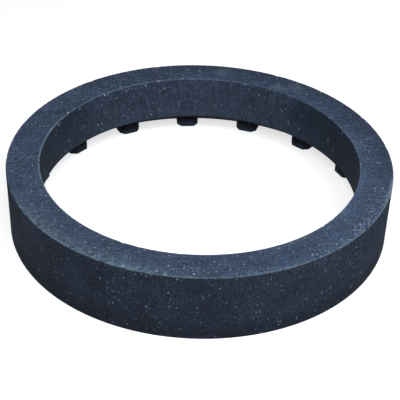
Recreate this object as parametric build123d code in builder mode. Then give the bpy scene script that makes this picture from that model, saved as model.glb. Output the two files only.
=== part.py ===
"""Manhole top ring, moulded in one piece.

A thick ring with a flat top. Its bore is straight below the top and then widens a
little with the mould's draft. Its underside slopes down from the bore's foot to a
narrow rim under the outer wall, and a circle of lugs stands under the slope, with
their feet level with that rim.

Millimetres, +Z up. The origin is the centre of the base, where the ring lies on the
floor. The ring's axis is Z, and one lug lies on +X and one on +Y.
"""

import os

from build123d import *

# Ring
clear_opening = 625.0  # bore diameter
wall_thickness = 65.0  # radial width of the flat top
height = 138.0  # outer wall, base to top
bore_height = 97.5  # bore wall, top down to the sloping underside
bore_land = 45.0  # straight part of the bore, top down
bore_draft = 3.0  # how much wider the bore's radius is at its foot
base_rim_width = 3.0  # flat rim under the outer wall

# Moulded roundings
top_edge_radius = 3.0
bore_foot_radius = 5.0
base_edge_radius = 1.5

# Lugs
lug_count = 16
lug_inner_radius = 337.0  # axis to the lugs' inner faces
lug_width = 48.0
lug_face_width = 29.0  # inner face, between the two cut corners
lug_corner_depth = 11.0  # the cut corners' radial depth
lug_foot_chamfer = 2.0
lug_root_height = 60.0  # base to the lug's top, inside the ring's wall

bore_radius = clear_opening / 2
outer_radius = bore_radius + wall_thickness
rim_inner_radius = outer_radius - base_rim_width
underside_height = height - bore_height
bore_foot = (bore_radius + bore_draft, underside_height)

lug_outer_end = rim_inner_radius + 0.5
lug_shoulder = lug_inner_radius + lug_corner_depth
half_face = lug_face_width / 2
half_width = lug_width / 2

# One lug on +X. Its outer end and its top lie inside the ring's wall, so that it is
# moulded on along the whole slope.
with BuildPart() as lug:
    with BuildSketch(Plane.XY):
        with BuildLine():
            Polyline(
                (lug_inner_radius, -half_face),
                (lug_shoulder, -half_width),
                (lug_outer_end, -half_width),
                (lug_outer_end, half_width),
                (lug_shoulder, half_width),
                (lug_inner_radius, half_face),
                close=True,
            )
        make_face()
    extrude(amount=lug_root_height)
    foot_edges = lug.faces().sort_by(Axis.Z)[0].edges().sort_by(Axis.X)
    chamfer(foot_edges[:-1], lug_foot_chamfer)

with BuildPart() as top_ring:
    # The wall's section, right of the axis
    with BuildSketch(Plane.XZ) as section:
        with BuildLine():
            Polyline(
                (bore_radius, height),
                (outer_radius, height),
                (outer_radius, 0),
                (rim_inner_radius, 0),
                bore_foot,
                (bore_radius, height - bore_land),
                close=True,
            )
        make_face()
        corners = section.vertices().group_by(Axis.Y)
        base_corner = corners[0].sort_by(Axis.X)[-1]
        foot_corner = corners[1]
        top_corners = corners[-1]
        fillet(base_corner, base_edge_radius)
        fillet(foot_corner, bore_foot_radius)
        fillet(top_corners, top_edge_radius)
    revolve(axis=Axis.Z)

    with PolarLocations(0, lug_count):
        add(lug.part)

os.makedirs("parts", exist_ok=True)
top_ring.part.label = "top_ring"
export_step(top_ring.part, "parts/top_ring.step")
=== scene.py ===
import math
import random

import bmesh
import bpy
from mathutils import Matrix, Vector, noise


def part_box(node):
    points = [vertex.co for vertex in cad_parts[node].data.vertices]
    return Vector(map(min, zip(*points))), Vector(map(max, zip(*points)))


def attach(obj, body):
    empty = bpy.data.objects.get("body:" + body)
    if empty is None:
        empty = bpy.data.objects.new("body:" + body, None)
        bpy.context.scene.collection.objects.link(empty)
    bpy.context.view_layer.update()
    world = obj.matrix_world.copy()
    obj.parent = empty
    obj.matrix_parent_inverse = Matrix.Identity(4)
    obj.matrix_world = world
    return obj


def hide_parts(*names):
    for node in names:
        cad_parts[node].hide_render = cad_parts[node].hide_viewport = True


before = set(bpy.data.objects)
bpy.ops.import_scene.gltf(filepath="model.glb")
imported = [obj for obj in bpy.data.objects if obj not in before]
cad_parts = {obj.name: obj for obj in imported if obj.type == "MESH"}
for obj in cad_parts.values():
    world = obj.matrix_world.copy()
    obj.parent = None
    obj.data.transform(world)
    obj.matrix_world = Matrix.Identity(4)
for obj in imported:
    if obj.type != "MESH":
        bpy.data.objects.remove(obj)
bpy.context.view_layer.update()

MM = 0.001
NODE = "top_ring"

# Driving dimensions
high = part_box(NODE)[1]
OUTER = high.x  # outer radius
HEIGHT = high.z
BORE = 312.5 * MM  # radius of the clear opening
LAND = 45.0 * MM  # straight part of the bore, from the top down
DRAFT = 3.0 * MM  # how much wider the bore is at its foot
RIM = 3.0 * MM  # flat rim that the ring stands on
UNDERSIDE = 40.5 * MM  # where the sloped underside would meet the bore
TOP_ROUNDING = 2.0 * MM  # of the two top edges, where they are least worn
BEND = 150.0 * MM  # rounding between the bore's straight part and its draft
FOOT = 5.0 * MM  # rounding where the bore meets the underside
BASE_EDGE = 1.2 * MM

LUGS = 16
LUG_FRONT = 337.0 * MM  # inner face of a lug, from the axis
LUG_BACK = OUTER - 2.5 * MM  # its outer end, inside the ring's wall
LUG_WIDTH = 48.0 * MM
LUG_FACE = 29.0 * MM  # width of the inner face, between the two cut corners
LUG_CORNER = 11.0 * MM  # how deep the cut corners are, outwards from that face
LUG_ROOT = 60.0 * MM  # its top, inside the ring's wall
LUG_LIFT = 0.15 * MM  # a lug's foot is this much above the rim, so the two never share a plane
LUG_ROUNDING = 2.4 * MM
LUG_ROUNDING_STEPS = 4

SEGMENTS = 960  # steps round the ring
FINER_ENDS = 0.1  # how much the steps along each side of the section crowd towards its ends
SHARP = math.radians(38)  # an edge with a larger angle is shaded as a sharp one

# Unevenness and wear of the mesh
WAVE_SIZE, WAVE_DEPTH = 85 * MM, 0.22 * MM
DENT_SIZE, DENT_DEPTH = 24 * MM, 0.10 * MM
DENT_SHIFT = Vector((5, 1, 7))  # tells the dents' noise from the waves'
STANDING = 12 * MM  # the unevenness fades out over this height above the floor
RUB_SIZE, RUB_DEPTH = 13 * MM, 0.45 * MM
RUB_REACH, RUB_SPREAD = 9 * MM, 3.6 * MM  # distances from the edge
RUB_FRACTAL = (0.8, 2.0, 3)  # dimension, lacunarity, octaves
UNRUBBED = 0.3  # share of the rubbing's noise that leaves the edge whole
RUB_WEAR = 0.6  # wear that the material reads where the edge is rubbed
NICK_WEAR = 1 * MM  # depth of a nick that the material reads as fully worn

# Chance nicks of the two top edges, as (seed, count, widest, deepest), and the least shares of
# that width and depth that chance gives.
OUTER_NICKS = (11, 34, 7 * MM, 1.3 * MM)
INNER_NICKS = (23, 30, 6 * MM, 1.2 * MM)
NARROWEST, SHALLOWEST = 0.35, 0.4
NICK_SLOPE = 1.5  # how gently a nick runs out

# Nicks that the photograph shows, as (angle in the photograph, half width, depth).
SEEN_OUTER = [(121.5, 5 * MM, 1.4 * MM), (26, 5 * MM, 1.2 * MM)]
SEEN_INNER = [
    (-41.8, 5 * MM, 1.3 * MM),
    (-17.9, 6 * MM, 1.2 * MM),
    (-63, 4 * MM, 1.0 * MM),
    (-78, 4 * MM, 0.8 * MM),
]

# The photograph looks along a line that is turned by this much from the row's +Y.
PHOTO_TURN = math.radians(-5.3)


def turned(x, y, z):
    """A point given in the photograph's own directions (x right, y away, z up), in the row frame."""
    return Matrix.Rotation(PHOTO_TURN, 3, "Z") @ Vector((x, y, z))


def seen_at(degrees):
    """Unit vector in the row frame at an angle from the photograph's far side towards its right."""
    a = math.radians(degrees)
    return turned(math.sin(a), math.cos(a), 0)


def placed(name, data):
    """A new object of the scene with this mesh, light or camera."""
    made = bpy.data.objects.new(name, data)
    bpy.context.scene.collection.objects.link(made)
    return made


# Mesh
def rounded(before, corner, after, radius, count):
    """The points of a corner's rounding, or the corner alone where it is sharp."""
    before, corner, after = (Vector(p) for p in (before, corner, after))
    if not radius:
        return [corner]
    back = (before - corner).normalized()
    on = (after - corner).normalized()
    half = back.angle(on) / 2
    centre = corner + (back + on).normalized() * radius / math.sin(half)
    start, end = (corner + side * radius / math.tan(half) - centre for side in (back, on))
    first = math.atan2(start.y, start.x)
    sweep = (math.atan2(end.y, end.x) - first + math.pi) % (2 * math.pi) - math.pi
    angles = [first + sweep * i / count for i in range(count + 1)]
    return [centre + radius * Vector((math.cos(a), math.sin(a))) for a in angles]


def section():
    """The ring's closed section as (radius, height) points, anticlockwise."""
    corners = [  # radius, height, rounding, steps round it, steps on to the next corner
        (OUTER, 0, BASE_EDGE, 3, 20),
        (OUTER, HEIGHT, TOP_ROUNDING, 8, 13),
        (BORE, HEIGHT, TOP_ROUNDING, 8, 6),
        (BORE, HEIGHT - LAND, BEND, 4, 7),
        (BORE + DRAFT, UNDERSIDE, FOOT, 6, 10),
        (OUTER - RIM, 0, 0, 1, 1),
    ]
    ends = [Vector(c[:2]) for c in corners]
    turns = []
    for i, (_, _, radius, around, _) in enumerate(corners):
        turns.append(rounded(ends[i - 1], ends[i], ends[(i + 1) % len(ends)], radius, around))
    points = []
    for i, turn in enumerate(turns):
        steps = corners[i][4]
        following = turns[(i + 1) % len(turns)][0]
        points += turn
        for k in range(1, steps):
            t = k / steps
            t -= FINER_ENDS * math.sin(2 * math.pi * t)
            points.append(turn[-1].lerp(following, t))
    return points


def turned_mesh(name, points, count, closed):
    """The surface that a line of (radius, height) points makes round the axis."""
    n = len(points)
    verts = []
    faces = []
    for i in range(count):
        a = 2 * math.pi * i / count
        verts += [(r * math.cos(a), r * math.sin(a), z) for r, z in points]
        j = (i + 1) % count
        for k in range(n if closed else n - 1):
            m = (k + 1) % n
            faces.append((i * n + k, j * n + k, j * n + m, i * n + m))
    mesh = bpy.data.meshes.new(name)
    mesh.from_pydata(verts, [], faces)
    return mesh


def lug_mesh():
    """All the lugs: blocks with cut inner corners, and rounded edges wherever they show."""
    shoulder = LUG_FRONT + LUG_CORNER
    plan = [
        (LUG_FRONT, -LUG_FACE / 2),
        (LUG_FRONT, LUG_FACE / 2),
        (shoulder, LUG_WIDTH / 2),
        (LUG_BACK, LUG_WIDTH / 2),
        (LUG_BACK, -LUG_WIDTH / 2),
        (shoulder, -LUG_WIDTH / 2),
    ]
    one = bmesh.new()
    bottom = [one.verts.new((x, y, LUG_LIFT)) for x, y in plan]
    top = [one.verts.new((x, y, LUG_ROOT)) for x, y in plan]
    one.faces.new(bottom[::-1])
    one.faces.new(top)
    for i in range(len(plan)):
        j = (i + 1) % len(plan)
        one.faces.new((bottom[i], bottom[j], top[j], top[i]))
    bmesh.ops.recalc_face_normals(one, faces=one.faces)

    def hidden(edge):
        """True inside the ring's wall, where an edge stays sharp."""
        ends = [v.co for v in edge.verts]
        return all(e.x > LUG_BACK - MM for e in ends) or all(e.z > LUG_ROOT - MM for e in ends)

    edges = [e for e in one.edges if not hidden(e)]
    bmesh.ops.bevel(
        one,
        geom=edges,
        offset=LUG_ROUNDING,
        segments=LUG_ROUNDING_STEPS,
        profile=0.5,
        affect="EDGES",
    )
    piece = bpy.data.meshes.new("lug")
    one.to_mesh(piece)
    one.free()
    every = bmesh.new()
    for _ in range(LUGS):
        piece.transform(Matrix.Rotation(2 * math.pi / LUGS, 4, "Z"))
        every.from_mesh(piece)
    mesh = bpy.data.meshes.new("lugs")
    every.to_mesh(mesh)
    every.free()
    return mesh


def joined(a, b):
    """One closed mesh from the two."""
    first, second = (placed(m.name, m) for m in (a, b))
    union = first.modifiers.new("union", "BOOLEAN")
    union.operation = "UNION"
    union.solver = "EXACT"
    union.object = second
    depsgraph = bpy.context.evaluated_depsgraph_get()
    mesh = bpy.data.meshes.new_from_object(first.evaluated_get(depsgraph))
    for o in (first, second):
        bpy.data.objects.remove(o)
    return mesh


def nicks(seed, count, widest, deepest):
    """Small losses along an edge: (angle, half width as an angle, depth)."""
    rng = random.Random(seed)
    found = []
    for _ in range(count):
        width = rng.uniform(NARROWEST, 1.0) * widest
        at = rng.uniform(-math.pi, math.pi)
        depth = width / widest * rng.uniform(SHALLOWEST, 1.0) * deepest
        found.append((at, width / OUTER, depth))
    return found


def seen_nicks(seen):
    """The photograph's nicks in the same form."""
    marks = []
    for degrees, half, depth in seen:
        d = seen_at(degrees)
        marks.append((math.atan2(d.y, d.x), half / OUTER, depth))
    return marks


def loss(angle, marks):
    """How deep an edge is nicked at this angle."""
    total = 0.0
    for at, half, depth in marks:
        off = abs((angle - at + math.pi) % (2 * math.pi) - math.pi) / half
        if off < 1:
            total = max(total, depth * (1 - off * off) ** NICK_SLOPE)
    return total


def worn(mesh):
    """Gives the mesh moulded unevenness and worn top edges, always inwards, and keeps the wear."""
    edges = [  # radius, side that the air is on, marks, shift of the noise
        (OUTER, 1, nicks(*OUTER_NICKS) + seen_nicks(SEEN_OUTER), 0),
        (BORE, -1, nicks(*INNER_NICKS) + seen_nicks(SEEN_INNER), 9),
    ]
    moved = []
    wear = []
    for v in mesh.vertices:
        p = v.co.copy()
        radius = math.hypot(p.x, p.y)
        angle = math.atan2(p.y, p.x)
        outward = Vector((p.x, p.y, 0)) / radius
        standing = min(1.0, p.z / STANDING)
        waves = 0.5 + 0.5 * noise.noise(p / WAVE_SIZE)
        dents = 0.5 + 0.5 * noise.noise(p / DENT_SIZE + DENT_SHIFT)
        inward = standing * (WAVE_DEPTH * waves + DENT_DEPTH * dents)
        amount = 0.0
        for edge, side, marks, shift in edges:
            away = math.hypot(radius - edge, HEIGHT - p.z)
            if away > RUB_REACH:
                continue
            spread = Vector((p.x, p.y, shift)) / RUB_SIZE
            ragged = 0.5 + 0.5 * noise.fractal(spread, *RUB_FRACTAL)
            rubbed = RUB_DEPTH * max(0.0, ragged - UNRUBBED)
            nick = loss(angle, marks)
            near = math.exp(-((away / RUB_SPREAD) ** 2))
            p += near * (rubbed + nick) * (Vector((0, 0, -1)) - side * outward) / math.sqrt(2)
            amount += near * (rubbed / RUB_DEPTH * RUB_WEAR + nick / NICK_WEAR)
        p -= inward * v.normal
        moved.append(p)
        wear.append(min(1.0, amount))
    for v, p in zip(mesh.vertices, moved):
        v.co = p
    kept = mesh.attributes.new("wear", "FLOAT", "POINT")
    kept.data.foreach_set("value", wear)
    for face in mesh.polygons:
        face.use_smooth = True
    mesh.set_sharp_from_angle(angle=SHARP)
    return mesh


# Material
def linear(r, g, b):
    """A display colour, 0 to 255, as the linear colour that a shader takes."""
    shares = (c / 255 for c in (r, g, b))
    return tuple(c / 12.92 if c <= 10 / 255 else ((c + 0.055) / 1.055) ** 2.4 for c in shares) + (1.0,)


COMPOUND = linear(50, 61, 79)  # the moulded blue-black compound
COMPOUND_DARK = linear(33, 39, 51)
COMPOUND_PALE = linear(72, 85, 109)
# painted shade: the underside, the lugs and the foot of the outer wall
PAINTED_SHADE = linear(22, 28, 37)
# painted black shadow on the lugs' upper parts, below the bore's foot
PAINTED_SHADOW = linear(9, 11, 14)
PAINTED_BORE_SHADE = linear(24, 36, 50)  # painted shade of the bore at its far left and right
PAINTED_BLUE_SHEEN = linear(33, 61, 97)  # painted bluish sheen of the light from above, on the top face
DUST_AND_EDGE_HIGHLIGHT = linear(104, 124, 130)  # greenish grey scuffing and dust, and painted highlight along the arrises
PALE_WEAR_AND_HIGHLIGHT = linear(92, 108, 130)  # pale: rubbed edges, haze and specks, and painted highlight and sheen
GRANULE = linear(150, 164, 178)
CHIP = linear(190, 200, 208)
GREEN_GRAIN = linear(92, 112, 60)
RED_GRAIN = linear(104, 52, 44)
TEAL_GRAIN = linear(52, 116, 92)

# Noises, as (offset that tells one from another, size of the features, detail, roughness), and a
# distortion where there is one.
CLOUDS = ((0, 0, 0), 70 * MM, 3, 0.55)
MOTTLE = ((3, 1, 2), 13 * MM, 3, 0.6)
GRAIN = ((7, 4, 1), 4.8 * MM, 3, 0.6)
FINE_GRAIN = ((1, 4, 7), 3.1 * MM, 2, 0.6)
COARSE_GRAIN = ((9, 1, 5), 8 * MM, 3, 0.6)
STREAKS = ((2, 8, 3), 5 * MM, 3, 0.6)
WIPES = ((5, 9, 2), 3.6 * MM, 3, 0.6)
PATCHES = ((1, 9, 4), 9 * MM, 4, 0.65)
GRIT = ((3, 3, 6), 3.2 * MM, 3, 0.7)
BREAKS = ((4, 4, 9), 7 * MM, 4, 0.7)
CURLS = ((6, 2, 5), 26 * MM, 1, 0.5, 1.2)
SPECKS = ((4, 7, 2), 3.6 * MM, 2, 0.6)
CROWDS = ((8, 3, 3), 45 * MM, 2, 0.5)
RAGGED = ((0, 0, 0), 2.2 * MM, 1, 0.5)
PORES = ((2, 5, 8), 1.5 * MM, 3, 0.6)
RIPPLES = ((5, 5, 1), 7 * MM, 3, 0.55)

# Drawn-out features, each by the share of its length that its width is. The streaks and the
# grains stand upright, and the wiped streaks of the top run across the photograph, at a slant.
STREAK_DRAW, GRAIN_DRAW, WIPE_DRAW = 0.07, 0.6, 0.09
WIPE_SLANT = 0.12

# How much each noise moves the tone, which is darkest at -TONE_RANGE and palest at TONE_RANGE.
TONE_RANGE = 0.9
CLOUD_TONE = (1.3, 1.8)  # on the walls, on the top
MOTTLE_TONE = (1.0, 1.7)  # on the walls, on the top
GRAIN_TONE = (5.0, 7.0)  # on the top, on its grainy side
WIPE_TONE = (2.2, 4.4)  # on the top, at its right
TOP_TONE = -0.1
BORE_GRAIN_TONE = 2.6
BORE_COARSE_TONE = 1.8
OUTSIDE_FINE_TONE = 4.6
WALL_STREAK_TONE = 0.6
BLUE_SHEEN_SHARE = (0.14, 0.22)  # on the top, on its blue side

# Grains scattered through the compound, as (cell, smallest, largest, offset). A cell holds one
# grain at most, with its radius between the two.
FINE = (6 * MM, 0.8 * MM, 1.6 * MM, (0.2, 0.7, 0.4))
EXPOSED = (8 * MM, 1.1 * MM, 2.5 * MM, (0.6, 0.3, 0.1))
FLECKS = (8 * MM, 1.8 * MM, 3.8 * MM, (0.1, 0.6, 0.9))
COARSE = (9.5 * MM, 0.9 * MM, 2.1 * MM, (0.9, 0.1, 0.3))
COLOURED = (18 * MM, 1.3 * MM, 2.3 * MM, (0.5, 0.4, 0.8))
GRAIN_CORE = 0.45  # share of a grain's radius within which it shows in full
SPOT_CORE = 0.35  # and of a single mark's
RAGGED_DEPTH = 3 * MM  # how far the grains' outlines are pushed about

# Shares of the cells that hold a grain, and how strongly the grains show, from the faintest to
# the strongest. Two numbers for cells are where the grains are few and where they crowd.
FINE_CELLS, FINE_STRENGTH = 0.75, (0.15, 0.9)
EXPOSED_CELLS, EXPOSED_STRENGTH = (0.35, 0.65), (0.15, 0.75)
FLECK_CELLS, FLECK_STRENGTH = 0.6, (0.2, 0.8)
COARSE_CELLS, COARSE_STRENGTH = 0.95, (0.14, 1.2)
COLOURED_CELLS = 0.16
SKIRT_CELLS = 0.6  # of the coarse ones, on the outer wall
BORE_BOOST = 1.3  # how much more strongly the coarse ones show in the bore

# Sides of the ring, as degrees in the photograph: (middle, full within, gone beyond).
RIGHT = (90, 25, 60)
GRAINY_SIDE = (40, 60, 110)
BLUE_SIDE = (75, 50, 110)
MIDDLE_LUG = (0, 8, 22)
LEFT_BAND = (-146, 14, 32)
FRONT_BAND = (180, 35, 80)
INNER_HAZE = (95, 30, 60)
INNER_SCUFF = (139, 10, 24)
LEFT_HAZE = (-105, 30, 70)
CLEAN_SIDE = (48, 45, 80)
TRODDEN = (195, 30, 70)
SHADED_FRONT_WALL = (188, 20, 50)
SHEEN_SIDE = (122, 14, 36)
LEFT_BORE = (-86, 8, 30)
SHADED_RIGHT = (66, 16, 34)
SHADED_LEFT = (-78, 14, 40)
RUBBED_EDGE = (106, 4, 9)
RIGHT_EDGE = (107, 10, 18)
FRONT_EDGE = (165, 60, 90)
LEFT_LINE = (-112, 30, 50)
CURLED = (121, 9, 20)
CROWDED_FRONT = (-166, 9, 20)
CROWDED_TOP = (-52, 6, 20)
CROWDED_BORE = (-22, 16, 32)
CROWDED_FAR_RIGHT = (28, 8, 20)
CROWDED_WALL = (146, 18, 36)

# How strongly the bore's top edge shows as a pale line, by side: partly worn edge, partly painted
# highlight.
INNER_LINES = [((-62, 44, 62), 0.8), ((92, 22, 40), 0.9), ((140, 14, 30), 0.4), ((4, 10, 18), 0.5)]

# Pale chips that stand out, as (angle in the photograph, share of the outer radius, radius, depth
# below the top).
PALE_CHIPS = [
    (-160.5, 0.985, 2.1 * MM, 0),
    (-169.5, 0.975, 2.0 * MM, 0),
    (-179.4, 0.972, 2.1 * MM, 0),
    (146.5, 0.965, 1.9 * MM, 0),
    (-41.8, 0.830, 2.2 * MM, 4 * MM),
    (-17.9, 0.831, 2.2 * MM, 0.5 * MM),
    (-61.5, 0.835, 2.6 * MM, 0.5 * MM),
]

# Smears, as (angle in the photograph, share of the outer radius, radius).
SMEARS = [(7, 0.93, 26 * MM), (30, 0.87, 22 * MM), (36, 0.93, 24 * MM)]

# Roughness and relief
ROUGHNESS, ROUGHEST = 0.7, 0.92
MOTTLE_ROUGHNESS, WEAR_ROUGHNESS = 0.3, 0.12
SPECULAR = 0.3
PORE_DEPTH, RIPPLE_DEPTH = 0.16 * MM, 0.34 * MM
STREAK_DEPTH, GRAIN_DEPTH = 0.12 * MM, 0.12 * MM
RELIEF = 0.8


class Graph:
    """A material's nodes, made by calls that return sockets."""

    def __init__(self, name):
        self.material = bpy.data.materials.new(name)
        self.material.use_nodes = True
        self.tree = self.material.node_tree
        self.shader = self.tree.nodes["Principled BSDF"]

    def put(self, socket, value):
        if isinstance(value, bpy.types.NodeSocket):
            self.tree.links.new(value, socket)
        elif value is not None:
            socket.default_value = value

    def node(self, kind, inputs=(), **settings):
        made = self.tree.nodes.new("ShaderNode" + kind)
        for key, value in settings.items():
            setattr(made, key, value)
        for key, value in dict(inputs).items():
            self.put(made.inputs[key], value)
        return made

    def math(self, operation, a, b=None):
        return self.node("Math", {0: a, 1: b}, operation=operation).outputs[0]

    def times(self, *factors):
        total = factors[0]
        for f in factors[1:]:
            total = self.math("MULTIPLY", total, f)
        return total

    def plus(self, *terms):
        total = terms[0]
        for t in terms[1:]:
            total = self.math("ADD", total, t)
        return total

    def less(self, a, b):
        return self.math("SUBTRACT", a, b)

    def either(self, a, b):
        return self.math("MAXIMUM", a, b)

    def squared(self, a):
        return self.times(a, a)

    def vector(self, operation, a, b=None, out=0):
        return self.node("VectorMath", {0: a, 1: b}, operation=operation).outputs[out]

    def ramp(self, value, start, end, low=0.0, high=1.0, smooth=True):
        """value from start to end, as low to high, held beyond both."""
        kind = "SMOOTHSTEP" if smooth else "LINEAR"
        given = {"Value": value, "From Min": start, "From Max": end, "To Min": low, "To Max": high}
        return self.node("MapRange", given, interpolation_type=kind).outputs["Result"]

    def fade(self, value, gone, full, least=0.0):
        """1 where the value is full or beyond it, and least where it is gone or beyond that."""
        return self.ramp(value, gone, full, least, 1.0)

    def between(self, share, low, high, smooth=True):
        """low where share is 0 and high where it is 1."""
        return self.ramp(share, 0, 1, low, high, smooth)

    def noise(self, coordinates, kind, out="Fac"):
        """Smooth noise around 0.5, of one of the kinds listed above."""
        offset, size, detail, roughness, *distortion = kind
        given = {
            "Vector": self.vector("ADD", coordinates, offset),
            "Scale": 1 / size,
            "Detail": detail,
            "Roughness": roughness,
            "Distortion": distortion[0] if distortion else 0.0,
        }
        return self.node("TexNoise", given).outputs[out]

    def uneven(self, fac):
        """Noise as a departure from its middle."""
        return self.less(fac, 0.5)

    def mix(self, share, a, b):
        made = self.node("Mix", data_type="RGBA", blend_type="MIX", clamp_factor=True)
        for key, value in (("Factor_Float", share), ("A_Color", a), ("B_Color", b)):
            self.put(next(s for s in made.inputs if s.identifier == key), value)
        return next(s for s in made.outputs if s.identifier == "Result_Color")

    def grains(self, coordinates, kind, share):
        """Grains of one of the kinds listed above, in this share of their cells.

        Gives the mask and a random number of the cell.
        """
        cell, smallest, largest, offset = kind
        moved = self.vector("ADD", coordinates, offset)
        cells = self.node("TexVoronoi", {"Vector": moved, "Scale": 1 / cell, "Randomness": 1.0})
        chances = self.node("SeparateColor", {0: cells.outputs["Color"]}).outputs
        there = self.math("LESS_THAN", chances[0], share)
        radius = self.between(chances[1], smallest / cell, largest / cell, smooth=False)
        away = self.math("DIVIDE", cells.outputs["Distance"], radius)
        return self.times(there, self.fade(away, gone=1.0, full=GRAIN_CORE)), chances[2]


class Rubber(Graph):
    """The compound: masks by place and direction, and coats of colour one over the other."""

    def __init__(self):
        super().__init__("rubber")
        self.colour = COMPOUND
        at = self.node("TexCoord").outputs
        self.place = at["Object"]
        x, y, self.z = self.node("SeparateXYZ", {0: self.place}).outputs
        self.up = self.node("SeparateXYZ", {0: at["Normal"]}).outputs[2]
        flat = self.node("CombineXYZ", {0: x, 1: y}).outputs[0]
        self.radius = self.vector("LENGTH", flat, out=1)
        self.direction = self.vector("NORMALIZE", flat)
        self.from_outer = self.less(OUTER, self.radius)
        self.from_inner = self.less(self.radius, BORE)
        self.wear = self.node("Attribute", attribute_name="wear").outputs["Fac"]

        # Top face, both walls, bore and outer wall
        self.top = self.fade(self.up, gone=0.5, full=0.9)
        self.wall = self.less(1.0, self.top)
        self.bore = self.times(self.fade(self.from_inner, gone=6 * MM, full=4 * MM), self.wall)
        self.outside = self.less(self.wall, self.bore)
        self.rightwards = self.towards(RIGHT)

        # Noises that more than one coat reads
        self.clouds = self.noise(self.place, CLOUDS)
        self.mottle = self.noise(self.place, MOTTLE)
        self.streaks = self.noise(self.drawn(STREAK_DRAW), STREAKS)
        self.patchy = self.noise(self.place, PATCHES)
        self.gritty = self.fade(self.noise(self.place, GRIT), gone=0.4, full=0.62, least=0.25)

    def drawn(self, share):
        """Coordinates whose features are drawn out upwards."""
        return self.vector("MULTIPLY", self.place, (1, 1, share))

    def towards(self, side):
        """1 on that side of the photograph, 0 well away from it."""
        middle, full, gone = side
        facing_it = self.vector("DOT_PRODUCT", self.direction, tuple(seen_at(middle)), out=1)
        return self.fade(facing_it, math.cos(math.radians(gone)), math.cos(math.radians(full)))

    def spot(self, degrees, share, size, down=0.0):
        """A single mark, share of the outer radius from the axis and down below the top."""
        centre = seen_at(degrees) * share * OUTER + Vector((0, 0, HEIGHT - down))
        away = self.vector("DISTANCE", self.place, tuple(centre), out=1)
        return self.fade(away, gone=size, full=size * SPOT_CORE)

    def from_edge(self, sideways):
        """Distance from a top edge, given the distance sideways from it."""
        below = self.less(HEIGHT, self.z)
        pair = self.node("CombineXYZ", {0: sideways, 1: below}).outputs[0]
        return self.vector("LENGTH", pair, out=1)

    def coat(self, colour, *masks, share=1.0):
        """Lays a colour over what is there, in this share, and less where a mask is below 1."""
        self.colour = self.mix(self.times(*masks, share), self.colour, colour)

    def compound(self):
        """The compound's own tone, with clouds, mottling, grain and streaks, and a painted bluish sheen on
        the top face.
        """
        grain = self.uneven(self.noise(self.place, GRAIN))
        fine_grain = self.uneven(self.noise(self.place, FINE_GRAIN))
        coarse_grain = self.uneven(self.noise(self.drawn(GRAIN_DRAW), COARSE_GRAIN))
        across = self.vector("DOT_PRODUCT", self.place, tuple(turned(1, WIPE_SLANT, 0)), out=1)
        along = self.vector("DOT_PRODUCT", self.place, tuple(turned(-WIPE_SLANT, 1, 0)), out=1)
        swept = {0: self.times(across, WIPE_DRAW), 1: along, 2: self.z}
        wiped = self.uneven(self.noise(self.node("CombineXYZ", swept).outputs[0], WIPES))
        tone = self.plus(
            self.times(self.uneven(self.clouds), self.between(self.top, *CLOUD_TONE)),
            self.times(self.uneven(self.mottle), self.between(self.top, *MOTTLE_TONE)),
            self.times(grain, self.top, self.between(self.towards(GRAINY_SIDE), *GRAIN_TONE)),
            self.times(grain, self.bore, BORE_GRAIN_TONE),
            self.times(coarse_grain, self.bore, BORE_COARSE_TONE),
            self.times(fine_grain, self.outside, OUTSIDE_FINE_TONE),
            self.times(self.uneven(self.streaks), self.wall, WALL_STREAK_TONE),
            self.times(self.top, TOP_TONE),
            self.times(wiped, self.top, self.between(self.rightwards, *WIPE_TONE)),
        )
        self.coat(COMPOUND_DARK, self.ramp(tone, 0, -TONE_RANGE, smooth=False))
        self.coat(COMPOUND_PALE, self.ramp(tone, 0, TONE_RANGE, smooth=False))
        self.coat(PAINTED_BLUE_SHEEN, self.top, self.between(self.towards(BLUE_SIDE), *BLUE_SHEEN_SHARE))

    def underside(self):
        """Painted shade underneath and on the lugs, a painted black shadow on the lugs' upper parts, and
        painted shade low on the outer wall.
        """
        # Painted shade on the lugs and on faces that look down, where the ring's overhang shades them
        inside = self.times(
            self.fade(self.from_outer, gone=1 * MM, full=4 * MM),
            self.fade(self.z, gone=41 * MM, full=35 * MM),
            self.fade(self.z, gone=6 * MM, full=20 * MM, least=0.3),
        )
        shade_below = self.times(
            self.fade(self.up, gone=-0.45, full=-0.75),
            self.fade(self.from_outer, gone=4 * MM, full=12 * MM, least=0.3),
        )
        self.coat(PAINTED_SHADE, self.either(shade_below, inside), share=0.75)
        # Painted black shadow on the lugs' upper parts; the middle lug's lower part is left lit
        upright = self.fade(self.up, gone=-0.7, full=-0.4)
        above_foot = self.fade(self.z, gone=12 * MM, full=23 * MM)
        off_centre = self.between(self.towards(MIDDLE_LUG), 1, 0)
        self.coat(PAINTED_SHADOW, inside, upright, self.either(above_foot, off_centre), share=0.85)
        # Painted shade low on the outer wall, darkest next to the floor
        skirt = self.fade(self.from_outer, gone=4 * MM, full=1 * MM)
        self.coat(PAINTED_SHADE, skirt, self.fade(self.z, gone=46 * MM, full=4 * MM), share=0.45)

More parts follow.
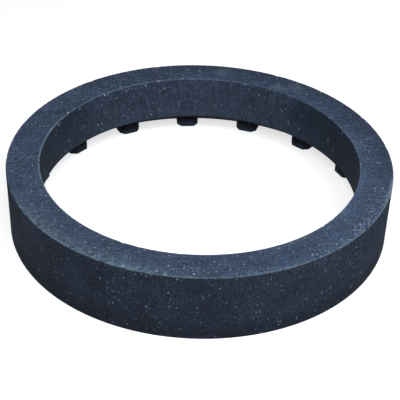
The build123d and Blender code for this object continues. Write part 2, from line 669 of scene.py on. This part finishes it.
    def dust(self):
        """Dust, scuffing and haze, each on its own side of the top face."""
        broken = self.fade(self.patchy, gone=0.38, full=0.68)
        smudged = self.fade(self.patchy, gone=0.34, full=0.66)
        hazy = self.fade(self.clouds, gone=0.3, full=0.6)
        left = self.times(self.towards(LEFT_BAND), self.fade(self.from_outer, gone=38 * MM, full=2 * MM))
        front = self.times(self.towards(FRONT_BAND), self.fade(self.from_outer, gone=16 * MM, full=0))
        haze = self.times(self.towards(INNER_HAZE), self.fade(self.from_inner, gone=30 * MM, full=4 * MM))
        scuff = self.times(self.towards(INNER_SCUFF), self.fade(self.from_inner, gone=24 * MM, full=2 * MM))
        self.coat(DUST_AND_EDGE_HIGHLIGHT, left, self.top, smudged, self.gritty, share=0.782)
        self.coat(DUST_AND_EDGE_HIGHLIGHT, front, self.top, broken, self.gritty, share=0.4)
        self.coat(PALE_WEAR_AND_HIGHLIGHT, haze, self.top, hazy, share=0.1)
        self.coat(DUST_AND_EDGE_HIGHLIGHT, scuff, self.top, broken, self.gritty, share=0.5)
        self.coat(PALE_WEAR_AND_HIGHLIGHT, self.towards(LEFT_HAZE), self.top, hazy, share=0.06)

    def shade(self):
        """Darker and paler stretches of the top face and of the two walls, with painted shade on the front
        of the outer wall and at the bore's far left and right, and a painted sheen on the top towards the
        front right.
        """
        clean = self.times(self.towards(CLEAN_SIDE), self.fade(self.from_outer, gone=60 * MM, full=8 * MM))
        trodden = self.times(self.towards(TRODDEN), self.fade(self.from_inner, gone=60 * MM, full=20 * MM))
        self.coat(COMPOUND_DARK, clean, self.top, share=0.4)
        self.coat(COMPOUND_DARK, trodden, self.top, share=0.25)
        # Painted shade on the front of the outer wall
        self.coat(COMPOUND_DARK, self.towards(SHADED_FRONT_WALL), self.outside, share=0.2)
        # Painted sheen on the top face towards the front right
        self.coat(PALE_WEAR_AND_HIGHLIGHT, self.towards(SHEEN_SIDE), self.top, share=0.05)
        low_down = self.fade(self.z, gone=115 * MM, full=45 * MM)
        less_left = self.between(self.towards(LEFT_BORE), 1, 0.3)
        self.coat(PALE_WEAR_AND_HIGHLIGHT, self.bore, low_down, less_left, share=0.09)
        high_up = self.fade(self.z, gone=60 * MM, full=120 * MM, least=0.6)
        # Painted shade on the bore's far left and right, strongest high up
        ends = self.either(self.towards(SHADED_RIGHT), self.towards(SHADED_LEFT))
        self.coat(PAINTED_BORE_SHADE, self.bore, high_up, ends, share=0.68)

    def edges(self):
        """What the mesh lost at the worn edges, and the thin pale lines of the arrises, partly worn edge
        and partly painted highlight.
        """
        breaks = self.noise(self.place, BREAKS)
        line = self.fade(breaks, gone=0.36, full=0.6)
        to_outer = self.from_edge(self.from_outer)
        to_inner = self.from_edge(self.from_inner)
        outer_line = self.times(self.fade(to_outer, gone=3.0 * MM, full=1.1 * MM), line)
        inner_line = self.times(self.fade(to_inner, gone=2.6 * MM, full=1.3 * MM), line)
        # The pale arris lines are partly worn edge and partly painted highlight, strongest where the
        # rounded edges catch the light
        outer_share = self.plus(self.times(self.towards(RIGHT_EDGE), self.gritty, 0.9), 0.05)
        inner_shares = [self.times(self.towards(side), share) for side, share in INNER_LINES]
        self.coat(PALE_WEAR_AND_HIGHLIGHT, self.fade(self.wear, gone=0.12, full=0.8), share=0.5)
        self.coat(DUST_AND_EDGE_HIGHLIGHT, outer_line, self.towards(FRONT_EDGE), share=0.5)
        self.coat(PALE_WEAR_AND_HIGHLIGHT, outer_line, outer_share)
        self.coat(PALE_WEAR_AND_HIGHLIGHT, inner_line, self.plus(*inner_shares, 0.1))
        left_line = self.times(self.fade(to_inner, gone=4.5 * MM, full=1.5 * MM), self.towards(LEFT_LINE))
        self.coat(DUST_AND_EDGE_HIGHLIGHT, left_line, self.fade(breaks, gone=0.3, full=0.6, least=0.4), share=0.55)
        rubbed = self.times(self.fade(to_outer, gone=9 * MM, full=2 * MM), self.towards(RUBBED_EDGE))
        self.coat(GRANULE, rubbed, self.gritty, share=0.45)

    def marks(self):
        """Curled scratches at the front right, pale smears at the far side, and weak specks."""
        curl = self.math("ABSOLUTE", self.uneven(self.noise(self.place, CURLS)))
        thread = self.fade(curl, gone=0.028, full=0.006)
        near_edge = self.fade(self.from_outer, gone=34 * MM, full=14 * MM)
        self.coat(GRANULE, thread, self.towards(CURLED), near_edge, self.top, share=0.42)
        smudged = self.fade(self.patchy, gone=0.3, full=0.6)
        for smear in SMEARS:
            self.coat(DUST_AND_EDGE_HIGHLIGHT, self.spot(*smear), smudged, self.gritty, self.top, share=0.45)
        speck = self.fade(self.noise(self.place, SPECKS), gone=0.58, full=0.72)
        self.coat(PALE_WEAR_AND_HIGHLIGHT, speck, self.plus(self.times(self.top, 0.5), self.times(self.bore, 0.45)))

    def crowding(self):
        """0.2 where the grains are few, and 1 or a little more where they crowd."""
        crowded = self.plus(
            self.towards(CROWDED_FRONT),
            self.times(self.towards(CROWDED_TOP), self.top),
            self.times(self.towards(CROWDED_BORE), self.bore, 0.8),
            self.times(self.towards(CROWDED_FAR_RIGHT), self.bore, 0.7),
            self.times(self.towards(CROWDED_WALL), self.outside, 0.8),
        )
        by_chance = self.fade(self.noise(self.place, CROWDS), gone=0.4, full=0.62, least=0.2)
        return self.either(by_chance, self.times(crowded, 1.25))

    def scatter(self):
        """Grains of every kind, and the chips. Gives the mask of the coarse grains."""
        crowd = self.crowding()
        ragged = self.noise(self.place, RAGGED, out="Color")
        ragged = self.vector("SUBTRACT", ragged, (0.5, 0.5, 0.5))
        ragged = self.vector("MULTIPLY", ragged, (RAGGED_DEPTH, RAGGED_DEPTH, RAGGED_DEPTH))
        place = self.vector("ADD", self.drawn(GRAIN_DRAW), ragged)

        fine, chance = self.grains(place, FINE, FINE_CELLS)
        self.coat(GRANULE, fine, crowd, self.ramp(chance, 0.2, 1, *FINE_STRENGTH))

        fewer = self.between(self.rightwards, 1, 0.6)
        share = self.times(self.between(crowd, *EXPOSED_CELLS), self.top, fewer)
        exposed, chance = self.grains(place, EXPOSED, share)
        self.coat(GRANULE, exposed, self.between(self.squared(chance), *EXPOSED_STRENGTH, smooth=False))

        flecks, chance = self.grains(place, FLECKS, FLECK_CELLS)
        on_top = self.times(self.top, self.between(self.rightwards, 1, 0.5))
        where = self.plus(on_top, self.times(self.wall, 0.7))
        self.coat(COMPOUND_DARK, flecks, where, self.between(chance, *FLECK_STRENGTH, smooth=False))

        skirt = self.fade(self.from_outer, gone=6 * MM, full=3 * MM)
        share = self.times(crowd, self.between(skirt, COARSE_CELLS, SKIRT_CELLS))
        coarse, chance = self.grains(place, COARSE, share)
        bright = self.between(self.squared(chance), *COARSE_STRENGTH, smooth=False)
        self.coat(GRANULE, coarse, bright, self.between(self.bore, 1, BORE_BOOST))

        coloured, hue = self.grains(place, COLOURED, COLOURED_CELLS)
        stain = self.mix(self.math("LESS_THAN", hue, 0.6), GREEN_GRAIN, RED_GRAIN)
        stain = self.mix(self.math("LESS_THAN", hue, 0.3), stain, TEAL_GRAIN)
        self.coat(stain, coloured, share=0.6)
        for chip in PALE_CHIPS:
            self.coat(CHIP, self.spot(*chip), share=0.75)
        return coarse

    def coated(self):
        """The material with every coat, its roughness and its relief."""
        self.compound()
        self.underside()
        self.dust()
        self.shade()
        self.edges()
        self.marks()
        coarse = self.scatter()
        self.put(self.shader.inputs["Base Color"], self.colour)
        rough = self.plus(
            ROUGHNESS,
            self.times(self.uneven(self.mottle), MOTTLE_ROUGHNESS),
            self.times(self.wear, WEAR_ROUGHNESS),
        )
        self.put(self.shader.inputs["Roughness"], self.math("MINIMUM", rough, ROUGHEST))
        self.shader.inputs["Specular IOR Level"].default_value = SPECULAR
        relief = self.plus(
            self.times(self.noise(self.place, PORES), PORE_DEPTH),
            self.times(self.noise(self.place, RIPPLES), RIPPLE_DEPTH),
            self.times(self.streaks, self.wall, STREAK_DEPTH),
            self.times(coarse, GRAIN_DEPTH),
        )
        bump = self.node("Bump", {"Height": relief, "Strength": RELIEF, "Distance": 1.0})
        self.put(self.shader.inputs["Normal"], bump.outputs[0])
        return self.material


mesh = worn(joined(turned_mesh("ring", section(), SEGMENTS, closed=True), lug_mesh()))
mesh.name = "top_ring_surface"
mesh.materials.clear()
mesh.materials.append(Rubber().coated())
ring = placed("ring", mesh)
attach(ring, "root")
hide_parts(NODE)

# Floor, and a pale wall all round that curves up from it
AROUND = 96
FLOOR_RADIUS, FLOOR_DROP = 30.0, 0.2 * MM
COVE_RADIUS, COVE_BEND, COVE_HEIGHT = 12.0, 3.0, 14.0
BEND_STEPS = 12
FLOOR_GREY = 0.5
FLOOR_GLOW = 0.7
FLOOR_ROUGHNESS = 0.9

turns = [2 * math.pi * i / AROUND for i in range(AROUND)]
disk = [(FLOOR_RADIUS * math.cos(a), FLOOR_RADIUS * math.sin(a), -FLOOR_DROP) for a in turns]
floor_mesh = bpy.data.meshes.new("floor")
floor_mesh.from_pydata(disk, [], [tuple(range(AROUND))])

cove_line = []
for i in range(BEND_STEPS + 1):
    b = math.pi / 2 * i / BEND_STEPS
    cove_line.append((COVE_RADIUS - COVE_BEND * (1 - math.sin(b)), COVE_BEND * (1 - math.cos(b))))
cove_line.append((COVE_RADIUS, COVE_HEIGHT))
cove_mesh = turned_mesh("backdrop", cove_line, AROUND, closed=False)
for face in cove_mesh.polygons:
    face.use_smooth = True

pale = Graph("floor")
pale.shader.inputs["Base Color"].default_value = (FLOOR_GREY, FLOOR_GREY, FLOOR_GREY, 1)
pale.shader.inputs["Roughness"].default_value = FLOOR_ROUGHNESS
pale.shader.inputs["Specular IOR Level"].default_value = 0.0
pale.shader.inputs["Emission Color"].default_value = (1, 1, 1, 1)
pale.shader.inputs["Emission Strength"].default_value = FLOOR_GLOW
floor = placed("floor", floor_mesh)
backdrop = placed("backdrop", cove_mesh)
backdrop.visible_shadow = False
for stage in (floor, backdrop):
    stage.data.materials.append(pale.material)
    stage.visible_diffuse = False
    stage.visible_glossy = False

# Light

# Strength of the world's light, against the z of the direction that it comes from.
SKY = {"From Min": -0.1, "From Max": 0.15, "To Min": 0.18, "To Max": 0.23}
LIGHT_COLOUR = (0.94, 1.0, 1.06)
LIGHT_AIM = (0, 0, 0.1)

world = bpy.data.worlds.new("studio")
bpy.context.scene.world = world
world.use_nodes = True
sky = world.node_tree
direction = sky.nodes.new("ShaderNodeTexCoord")
split = sky.nodes.new("ShaderNodeSeparateXYZ")
fade = sky.nodes.new("ShaderNodeMapRange")
sky.links.new(direction.outputs["Generated"], split.inputs[0])
sky.links.new(split.outputs[2], fade.inputs["Value"])
fade.interpolation_type = "SMOOTHSTEP"
for key, value in SKY.items():
    fade.inputs[key].default_value = value
sky.links.new(fade.outputs[0], sky.nodes["Background"].inputs["Strength"])
sky.nodes["Background"].inputs["Color"].default_value = (1, 1, 1, 1)


def area_light(name, position, size, power):
    """A round lamp at a place in the photograph's own directions, aimed at the ring."""
    data = bpy.data.lights.new(name, "AREA")
    data.shape = "DISK"
    data.size = size
    data.energy = power
    data.color = LIGHT_COLOUR
    lamp = placed(name, data)
    lamp.location = turned(*position)
    lamp.rotation_euler = (turned(*LIGHT_AIM) - lamp.location).to_track_quat("-Z", "Y").to_euler()


area_light("key", (1.00, -0.70, 1.84), 1.12, 27.6)
area_light("fill", (-0.25, -0.94, 1.49), 0.9, 15.6)

# Camera
FOCAL = 1077.4 / 400  # focal length over the picture's width
PITCH, ROLL = math.radians(35.204), math.radians(1.821)
EYE = Vector((0.0068, -4.7129, 3.0443)) * OUTER + Vector((0, 0, HEIGHT))
SENSOR = 36.0
FAR = 100

ahead = Vector((0, math.cos(PITCH), -math.sin(PITCH)))
down = Vector((0, -math.sin(PITCH), -math.cos(PITCH)))
right = Vector((1, 0, 0))
rolled_right = right * math.cos(ROLL) - down * math.sin(ROLL)
rolled_down = right * math.sin(ROLL) + down * math.cos(ROLL)
axes = [turned(*v) for v in (rolled_right, -rolled_down, -ahead)]
camera_data = bpy.data.cameras.new("camera")
camera_data.sensor_width = SENSOR
camera_data.sensor_fit = "HORIZONTAL"
camera_data.lens = SENSOR * FOCAL
camera_data.clip_end = FAR
camera = placed("camera", camera_data)
camera.matrix_world = Matrix.Translation(turned(*EYE)) @ Matrix(axes).transposed().to_4x4()
bpy.context.scene.camera = camera
bpy.context.scene.view_settings.view_transform = "Standard"

bpy.context.view_layer.update()
